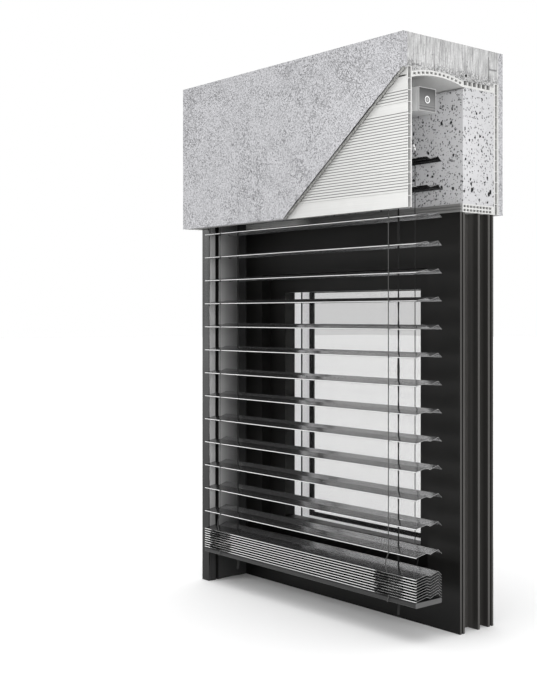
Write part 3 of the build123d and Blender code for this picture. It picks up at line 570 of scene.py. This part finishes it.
def make_cap(name, color, ring_place):
    """Headrail cap: darker towards its top, bands at its foot, a pale rim and a white shaft ring."""
    rim_width = 0.0014
    band_pitch = 0.0062
    ring_inner = 0.00595
    ring_outer = 0.0087
    foot = headrail_low.z
    g = Graph(name, color, roughness=0.4, specular=0.4)
    grain = g.noise(420)
    steps = g.math("FRACT", g.math("DIVIDE", g.math("SUBTRACT", g.z, foot), band_pitch))
    bands = g.times(g.rise(steps, 0.62, 0.68), g.fall(g.z, foot + 0.016, foot + 0.018))
    rim = g.largest(
        g.below(g.y, headrail_low.y + rim_width),
        g.above(g.y, headrail_high.y - rim_width),
        g.below(g.z, headrail_low.z + rim_width),
        g.above(g.z, headrail_high.z - rim_width),
    )
    reach = g.distance(ring_place, stretch=(0, 1, 1))
    ring = g.within(reach, ring_inner, ring_outer, blur=0.0001)
    # Painted shade of a groove in the shaft ring
    groove = g.within(reach, 0.0067, 0.0073, blur=0.0001)
    body = g.mix(g.fall(g.z, foot + 0.010, foot + 0.050), shade(color, 0.55), shade(color, 2.2))
    body = g.mix(g.times(bands, 0.7), body, shade(color, 0.5))
    body = g.mix(g.rise(grain, 0.3, 0.7, most=0.25), body, shade(color, 0.8))
    body = g.mix(g.times(rim, 0.8), body, shade(grey(0.42)))
    body = g.mix(g.below(reach, ring_inner, blur=0.0001), body, shade(color, 1.1))
    body = g.mix(ring, body, shade(grey(0.68)))
    body = g.mix(g.times(groove, 0.55), body, shade(grey(0.30)))
    g.paint(body)
    g.bump(grain, depth=0.0002, strength=0.3)
    return g.material


def make_cord(name, color):
    """Braided cord or woven tape: a diagonal plait."""
    g = Graph(name, color, roughness=0.8, specular=0.3)

    def strands(lean):
        inputs = [("Vector", g.stretched((lean, 1, 1))), ("Scale", 330.0), ("Distortion", 0.5)]
        return g.node("TexWave", inputs, bands_direction="DIAGONAL").outputs["Fac"]

    plait = g.times(strands(1), strands(-1))
    g.paint(g.mix(plait, shade(color, 0.7), shade(color, 1.35)))
    g.bump(plait, depth=0.0003, strength=0.7)
    return g.material


def make_glass(name):
    """Clear pane, the faintest grey, with a film of dust."""
    g = Graph(name, (0.05, 0.055, 0.055), roughness=0.02)
    g.shader.inputs["Alpha"].default_value = 0.09
    dust = g.noise(40, detail=3.0)
    g.paint(g.mix(g.rise(dust, 0.3, 0.7), (0.03, 0.032, 0.032, 1), shade(grey(0.09))))
    g.rough(g.rise(dust, 0.3, 0.7, most=0.04))
    return g.material


panel_white = (0.55, 0.55, 0.54)
foil_colour = (0.0080, 0.0078, 0.0073)
# The frame's bare core, painted lighter as light for its recesses
lit_core_colour = (0.058, 0.056, 0.053)
plaster = make_plaster("plaster", (0.43, 0.43, 0.445))
broken_edge = make_broken_edge("plaster_edge", (0.26, 0.26, 0.25))
panel_plastic = make_panel("panel_plastic", panel_white)
crown_plastic = make_panel("crown_panel_plastic", panel_white, crown=grey(0.45))
concrete = make_lintel("lintel_concrete", grey(0.46))
foam = make_foam("bead_foam", (0.49, 0.49, 0.50))
# rim is the colour of the slats' painted highlight
slat_paint = make_slat_paint(
    "slat_paint", (0.21, 0.21, 0.212), 0.80, 0.20, cut_end=grey(0.36), rim=grey(0.80)
)
bottom_paint = make_slat_paint("bottom_rail_paint", grey(0.022), 0.3, 0.36, cut_end=grey(0.09))
rail_paint = make_rail("rail_coating", grey(0.52))
frame_foil = make_frame("frame_foil", foil_colour, lit_core_colour, stretch=(1, 1, 0.01))
frame_foil_x = make_frame("frame_foil_along", foil_colour, lit_core_colour, stretch=(0.01, 1, 1))
black_plastic = make_plastic("black_plastic", grey(0.010), 0.5, grain=0.2)
gasket_rubber = make_plastic("gasket_rubber", grey(0.006), 0.7, grain=0.2)
spacer_metal = make_spacer("spacer_metal", (0.97, 0.97, 0.98), seal_y=0.1260, seal_half=0.0029)
zinc = make_coated("zinc_sheet", grey(0.62), 0.4, 0.42)
cap_plastic = make_cap("cap_plastic", grey(0.085), (0, shaft_y, shaft_z))
motor_paint = make_coated("motor_paint", grey(0.20), 0.6, 0.4)
white_plastic = make_plastic("white_plastic", (0.72, 0.72, 0.71), 0.35)
shaft_metal = make_coated("shaft_metal", grey(0.55), 0.9, 0.35)
cord_yarn = make_cord("cord_yarn", (0.075, 0.075, 0.074))
dark_yarn = make_cord("dark_cord_yarn", grey(0.022))
tape_yarn = make_cord("tape_yarn", grey(0.014))
glass = make_glass("pane_glass")

looks = {
    "rear_render": plaster,
    "left_end_panel": panel_plastic,
    "front_panel": panel_plastic,
    "rear_panel": panel_plastic,
    "top_panel": crown_plastic,
    "base_panel": panel_plastic,
    "lintel": concrete,
    "insulation_block": foam,
    "guide_rail": rail_paint,
    "rail_liners": black_plastic,
    "frame_stiles": frame_foil,
    "frame_rails": frame_foil_x,
    "sash_stiles": frame_foil,
    "sash_rails": frame_foil_x,
    "glass_panes": glass,
    "glazing_spacers": spacer_metal,
    "glazing_gaskets": gasket_rubber,
    "headrail": zinc,
    "headrail_caps": cap_plastic,
    "headrail_brackets": zinc,
    "motor": motor_paint,
    "fixing_screws": shaft_metal,
    "bottom_rail": bottom_paint,
    "stacked_slats": slat_paint,
    "drive_shaft": shaft_metal,
    "cord_spools": white_plastic,
    "tilt_rings": white_plastic,
}
for number in range(1, slat_count + 1):
    looks[f"slat_{number:02d}"] = slat_paint
    looks[f"guide_pin_{number:02d}"] = black_plastic
for name, material in looks.items():
    data = nodes[name].data
    data.materials.clear()
    data.materials.append(material)


# Pieces made here
def smooth_by_angle(data, degrees):
    """Smooth shading that keeps edges sharper than an angle."""
    bm = bmesh.new()
    bm.from_mesh(data)
    limit = math.radians(degrees)
    for face in bm.faces:
        face.smooth = True
    for edge in bm.edges:
        edge.smooth = len(edge.link_faces) == 2 and edge.calc_face_angle(0) < limit
    bm.to_mesh(data)
    bm.free()


def finish_piece(bm, name, materials, body, replaced=(), smooth=None):
    """Turns a bmesh into a piece that rides on a body."""
    bmesh.ops.recalc_face_normals(bm, faces=bm.faces[:])
    data = bpy.data.meshes.new(name)
    bm.to_mesh(data)
    bm.free()
    if smooth is not None:
        smooth_by_angle(data, smooth)
    for material in materials:
        data.materials.append(material)
    piece = bpy.data.objects.new(name, data)
    bpy.context.scene.collection.objects.link(piece)
    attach(piece, body)
    if replaced:
        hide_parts(*replaced)
    return piece


def finish_cord(bm, name, yarns, body, replaced=()):
    return finish_piece(bm, name, yarns, body, replaced, smooth=50)


def finish_tape(bm, name, yarn, body, replaced=()):
    return finish_piece(bm, name, [yarn], body, replaced, smooth=60)


def narrow_with_tilt(piece):
    """Gives the piece a mesh of its own. On the real blind the ladders' two sides draw together as
    the slats close; this doesn't move them.
    """
    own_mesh(piece)


def round_section(radius, sides):
    """Outline of a cord."""
    turns = [2 * math.pi * step / sides for step in range(sides)]
    return [(math.cos(turn) * radius, math.sin(turn) * radius) for turn in turns]


def band_section(width, thickness, sides=12):
    """Outline of a tape: a rectangle with rounded corners."""
    squareness = 0.25
    outline = []
    for step in range(sides):
        turn = 2 * math.pi * step / sides
        u = math.copysign(abs(math.cos(turn)) ** squareness, math.cos(turn))
        v = math.copysign(abs(math.sin(turn)) ** squareness, math.sin(turn))
        outline.append((u * width / 2, v * thickness / 2))
    return outline


cord_section = round_section(cord_radius, sides=10)
tape_section = band_section(tape_width, tape_thickness)


def add_tube(bm, points, section):
    """A closed tube along points, which doesn't start along Y. A point's fourth value is the
    twist of its section there."""
    rings = []
    side = None
    for index, point in enumerate(points):
        place = Vector(point[:3])
        before = Vector(points[max(index - 1, 0)][:3])
        after = Vector(points[min(index + 1, len(points) - 1)][:3])
        along = (after - before).normalized()
        if side is None:
            side = along.cross(Vector((0, 1, 0)))
        side = (side - along * side.dot(along)).normalized()
        other = along.cross(side).normalized()
        twist = point[3] if len(point) > 3 else 0.0
        across = side * math.cos(twist) + other * math.sin(twist)
        depth = other * math.cos(twist) - side * math.sin(twist)
        rings.append([bm.verts.new(place + across * u + depth * v) for u, v in section])
    for first, second in zip(rings, rings[1:]):
        for step in range(len(section)):
            following = (step + 1) % len(section)
            bm.faces.new((first[step], first[following], second[following], second[step]))
    bm.faces.new(rings[0][::-1])
    bm.faces.new(rings[-1])


def rounded_route(corners, radius, steps=6):
    """Points along straight runs whose corners are rounded."""
    points = [Vector(corners[0])]
    for before, corner, after in zip(corners, corners[1:], corners[2:]):
        before, corner, after = Vector(before), Vector(corner), Vector(after)
        into = (before - corner).normalized()
        out = (after - corner).normalized()
        start = corner + into * radius
        end = corner + out * radius
        for step in range(steps + 1):
            t = step / steps
            points.append(start * (1 - t) ** 2 + corner * 2 * t * (1 - t) + end * t**2)
    points.append(Vector(corners[-1]))
    return [tuple(p) for p in points]


def add_block(bm, centre, size, bevel, turn):
    """A box with bevelled edges, turned about X."""
    made = bmesh.ops.create_cube(bm, size=1.0)["verts"]
    spin = Matrix.Rotation(turn, 4, "X")
    for vert in made:
        vert.co = spin @ Vector([c * s for c, s in zip(vert.co, size)]) + Vector(centre)
    edges = list({edge for vert in made for edge in vert.link_edges})
    bmesh.ops.bevel(bm, geom=edges, offset=bevel, segments=2, affect="EDGES")


# Render coat with a broken diagonal edge
cut_run = 0.420
cut_rise = 0.320
cut_steps = 220
layers = 5
coarse_break = 0.0026
fine_break = 0.0014
bulge = 0.0020
bm = bmesh.new()
cut_start = Vector((coat_high.x - cut_run, 0, coat_low.z))
cut_end = Vector((coat_high.x, 0, coat_low.z + cut_rise))
cut_along = (cut_end - cut_start).normalized()
cut_out = Vector((cut_along.z, 0, -cut_along.x))
cut_rows = []
for layer in range(layers + 1):
    depth = layer / layers
    y = coat_low.y + depth * (coat_high.y - coat_low.y)
    row = []
    for step in range(cut_steps + 1):
        along = step / cut_steps
        coarse = noise.noise(Vector((along * 34, depth * 1.2, 3.0)))
        fine = noise.noise(Vector((along * 150, depth * 4.0, 8.0)))
        reach = coarse_break * coarse + fine_break * fine - bulge * (2 * depth - 1) ** 2
        if step in (0, cut_steps):
            reach = 0.0
        place = cut_start.lerp(cut_end, along) + cut_out * reach
        row.append(bm.verts.new((place.x, y, place.z)))
    cut_rows.append(row)
for first, second in zip(cut_rows, cut_rows[1:]):
    for step in range(cut_steps):
        face = bm.faces.new((first[step], first[step + 1], second[step + 1], second[step]))
        face.material_index = 1
outer = []
for y in (coat_low.y, coat_high.y):
    outer.append(
        [
            bm.verts.new((coat_high.x, y, coat_high.z)),
            bm.verts.new((coat_low.x, y, coat_high.z)),
            bm.verts.new((coat_low.x, y, coat_low.z)),
        ]
    )
bm.faces.new(cut_rows[0] + outer[0])
bm.faces.new((cut_rows[-1] + outer[1])[::-1])
for index in range(2):
    bm.faces.new((outer[0][index], outer[1][index], outer[1][index + 1], outer[0][index + 1]))
right_edge = [row[-1] for row in cut_rows]
left_edge = [row[0] for row in cut_rows]
bm.faces.new(right_edge + [outer[1][0], outer[0][0]])
bm.faces.new(left_edge + [outer[1][2], outer[0][2]])
bmesh.ops.triangulate(bm, faces=[f for f in bm.faces if len(f.verts) > 4])
finish_piece(bm, "render_coat", [plaster, broken_edge], "root", ["front_render"])

# Ladder cords: one part per gap and the part above the top slat
cord_runs = ((front_cord, shaft_y - cord_hang), (rear_cord, shaft_y + cord_hang))
cord_steps = 8
for number in range(2, slat_count + 2):
    bm = bmesh.new()
    lower = edge_height(number - 1)
    upper = edge_height(number)
    for yarn, (spread, hanging) in enumerate(cord_runs):
        made = len(bm.faces)
        for ladder in ladder_places:
            if number > slat_count:
                corners = [
                    (ladder, spread, lower),
                    (ladder, spread, spread_bottom),
                    (ladder, hanging, spread_top),
                    (ladder, hanging, cord_top),
                ]
                route = rounded_route(corners, cord_bend)
            else:
                heights = [lower + (upper - lower) * k / cord_steps for k in range(cord_steps + 1)]
                route = [(ladder, spread, height) for height in heights]
            add_tube(bm, route, cord_section)
        bm.faces.ensure_lookup_table()
        for face in bm.faces[made:]:
            face.material_index = yarn
    body = f"guide_pin_{min(number, slat_count):02d}"
    yarns = [cord_yarn, dark_yarn]
    piece = finish_cord(bm, f"ladder_{number:02d}", yarns, body, ["ladder_cords"])
    narrow_with_tilt(piece)

# Lift tapes, one part per gap: each is turned a little in its middle, some have a lazy twist
tape_turns = (0.12, -0.35)
twists = {(1, 13): 1.35, (0, 11): 1.2, (1, 8): 0.5, (0, 5): 0.4}
tape_steps = 16
for number in range(2, slat_count + 2):
    bm = bmesh.new()
    lower = edge_height(number - 1)
    upper = edge_height(number) if number <= slat_count else cord_top
    for which, tape in enumerate(tape_places):
        most = twists.get((which, number), tape_turns[which])
        route = []
        for k in range(tape_steps + 1):
            height = lower + (upper - lower) * k / tape_steps
            twist = most * math.sin(math.pi * k / tape_steps) ** 2
            route.append((tape, slat_middle, height, twist))
        add_tube(bm, route, tape_section)
    body = f"guide_pin_{min(number, slat_count):02d}"
    piece = finish_tape(bm, f"tape_{number:02d}", tape_yarn, body, ["lift_tapes"])
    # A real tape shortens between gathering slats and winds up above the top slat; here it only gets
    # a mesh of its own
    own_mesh(piece)

# Lift tapes from the bottom rail to the lowest hanging slat
bm = bmesh.new()
for tape in tape_places:
    route = []
    for k in range(tape_steps + 1):
        height = rail_top + (lowest_edge - rail_top) * k / tape_steps
        twist = 0.1 * math.sin(k / 3)
        route.append((tape, slat_middle, height, twist))
    add_tube(bm, route, tape_section)
finish_tape(bm, "tape_01", tape_yarn, "bottom_rail", ["lift_tapes"])

# Slack cords between the lowest hanging slat and the stack
stack_top = stack_edge + (stack_count - 1) * stack_pitch
slack_aside = 0.005
slack_apart = 0.0020
slack_steps = 12
slack_runs = (("front", front_cord, -1, cord_yarn), ("rear", rear_cord, 1, dark_yarn))
for side, spread, lean, yarn in slack_runs:
    bm = bmesh.new()
    for ladder in ladder_places:
        route = []
        for k in range(slack_steps + 1):
            t = k / slack_steps
            sway = math.sin(math.pi * t)
            x = ladder + lean * slack_aside * (sway**2 + 1 - t)
            y = spread + lean * slack_apart * sway
            route.append((x, y, stack_top + (lowest_edge - stack_top) * t))
        add_tube(bm, route, cord_section)
    finish_cord(bm, f"ladder_slack_{side}", [yarn], "bottom_rail", ["ladder_cords"])

# Loops that the ladder cords fold into between the stacked slats
loop_reach = 0.048
loop_rise = 0.0034
loop_wave = 0.0004
loop_steps = 48
loop_section = round_section(0.0005, sides=6)
for side, spread in (("front", front_cord - 0.0004), ("rear", rear_cord)):
    bm = bmesh.new()
    for ladder in ladder_places:
        for gap in range(stack_count):
            start = stack_edge + gap * stack_pitch
            out = loop_reach * (0.94 + 0.06 * math.sin(2.3 * gap))
            route = []
            for k in range(loop_steps + 1):
                t = k / loop_steps
                swing = math.sin(2 * math.pi * t)
                x = ladder + out * math.copysign(abs(swing) ** 0.7, swing)
                z = start + loop_rise * (t - 0.5) + loop_wave * math.sin(17 * t + gap)
                route.append((x, spread, z))
            add_tube(bm, route, loop_section)
    finish_cord(bm, f"ladder_loops_{side}", [dark_yarn], "bottom_rail")

# Ends of the cords in front of the bottom rail
cord_end_top = 0.1040
cord_end_steps = 6
cord_end_step = 0.0026
cord_end_lean = 0.0004
cord_end_sway = 0.002
cord_end_section = round_section(0.0012, sides=8)
bm = bmesh.new()
for ladder in ladder_places:
    route = []
    for k in range(cord_end_steps + 1):
        x = ladder + cord_end_sway * math.sin(k)
        y = front_cord - cord_end_lean * (k + 1)
        route.append((x, y, cord_end_top - cord_end_step * k))
    add_tube(bm, route, cord_end_section)
finish_cord(bm, "cord_ends", [cord_yarn], "bottom_rail")

# Ends of the tapes under the bottom rail
tape_end_steps = 8
tape_end_step = 0.0051
tape_end_sway = 0.0015
bm = bmesh.new()
for tape in tape_places:
    route = []
    for k in range(tape_end_steps + 1):
        y = slat_middle + tape_end_sway * math.sin(k / 2)
        twist = -0.4 - 0.03 * k
        route.append((tape, y, rail_bottom - tape_end_step * k, twist))
    add_tube(bm, route, tape_section)
finish_tape(bm, "tape_ends", dark_yarn, "bottom_rail")

# Clips on the rear cord at the right, above the top slat
clip_size = (0.0042, 0.0036, 0.0070)
clip_bevel = 0.0007
bm = bmesh.new()
for y, z, turn in ((-0.0478, 1.1680, 0.25), (-0.0515, 1.1755, 0.55)):
    add_block(bm, (ladder_places[1], y, z), clip_size, clip_bevel, turn)
top_pin = f"guide_pin_{slat_count:02d}"
clips = finish_piece(bm, "cord_clips", [white_plastic], top_pin, smooth=40)
narrow_with_tilt(clips)

# Camera
picture_height = 678
horizon_over_middle = 23
camera_data = bpy.data.cameras.new("camera")
camera_data.sensor_width = 36
camera_data.lens = 58.35
camera_data.shift_y = -horizon_over_middle / picture_height
camera_data.clip_end = 50
camera = bpy.data.objects.new("camera", camera_data)
camera.location = (2.1575, -2.0233, 0.7641)
camera.rotation_euler = (math.radians(90), 0, math.radians(50.1))
bpy.context.scene.collection.objects.link(camera)
bpy.context.scene.camera = camera

# Floor
bm = bmesh.new()
bmesh.ops.create_grid(bm, x_segments=1, y_segments=1, size=30)
floor_data = bpy.data.meshes.new("floor")
bm.to_mesh(floor_data)
bm.free()
floor = bpy.data.objects.new("floor", floor_data)
floor.location = (0, 0, -0.0004)
bpy.context.scene.collection.objects.link(floor)
floor_look = Graph("floor_paper", grey(0.93), roughness=0.9, specular=0.1)
floor_data.materials.append(floor_look.material)

# Light: a white backdrop, a dimmer room on the camera's side, and broad soft lamps
toward_backdrop = (-0.5, 0.866, 0.0)
room_side = -0.35
backdrop_side = 0.45
room_strength = 0.28
world = bpy.data.worlds.new("surround")
world.use_nodes = True
tree = world.node_tree
background = tree.nodes["Background"]
background.inputs["Color"].default_value = shade(grey(1.0))
toward = tree.nodes.new("ShaderNodeVectorMath")
toward.operation = "DOT_PRODUCT"
toward.inputs[1].default_value = toward_backdrop
tree.links.new(tree.nodes.new("ShaderNodeTexCoord").outputs["Generated"], toward.inputs[0])
fade = tree.nodes.new("ShaderNodeMapRange")
for socket, value in enumerate((room_side, backdrop_side, room_strength, 1.0), start=1):
    fade.inputs[socket].default_value = value
tree.links.new(toward.outputs["Value"], fade.inputs[0])
seen = tree.nodes.new("ShaderNodeMath")
seen.operation = "MAXIMUM"
tree.links.new(tree.nodes.new("ShaderNodeLightPath").outputs["Is Camera Ray"], seen.inputs[0])
tree.links.new(fade.outputs[0], seen.inputs[1])
tree.links.new(seen.outputs[0], background.inputs["Strength"])
bpy.context.scene.world = world


def add_lamp(name, toward_lamp, width, strength):
    """A broad soft lamp far away; width is the angle it spans in degrees."""
    data = bpy.data.lights.new(name, "SUN")
    data.angle = math.radians(width)
    data.energy = strength * math.pi
    lamp = bpy.data.objects.new(name, data)
    lamp.rotation_euler = Vector(toward_lamp).to_track_quat("Z", "Y").to_euler()
    bpy.context.scene.collection.objects.link(lamp)


add_lamp("right_lamp", (1.0, -0.62, 0.30), width=40, strength=0.50)
add_lamp("left_lamp", (-0.35, -1.0, 0.50), width=30, strength=0.30)
add_lamp("top_lamp", (0.1, -0.2, 1.0), width=60, strength=0.50)

# A spot from the right that reaches into the open end of the box
spot_data = bpy.data.lights.new("box_spot", "SPOT")
spot_data.energy = 74
spot_data.spot_size = math.radians(15)
spot_data.spot_blend = 0.6
spot_data.shadow_soft_size = 0.15
spot = bpy.data.objects.new("box_spot", spot_data)
spot.location = (1.75, -1.25, 0.98)
spot_aim = Vector((0.36, -0.02, 1.17)) - spot.location
spot.rotation_euler = spot_aim.to_track_quat("-Z", "Y").to_euler()
bpy.context.scene.collection.objects.link(spot)

bpy.context.scene.view_settings.view_transform = "Standard"
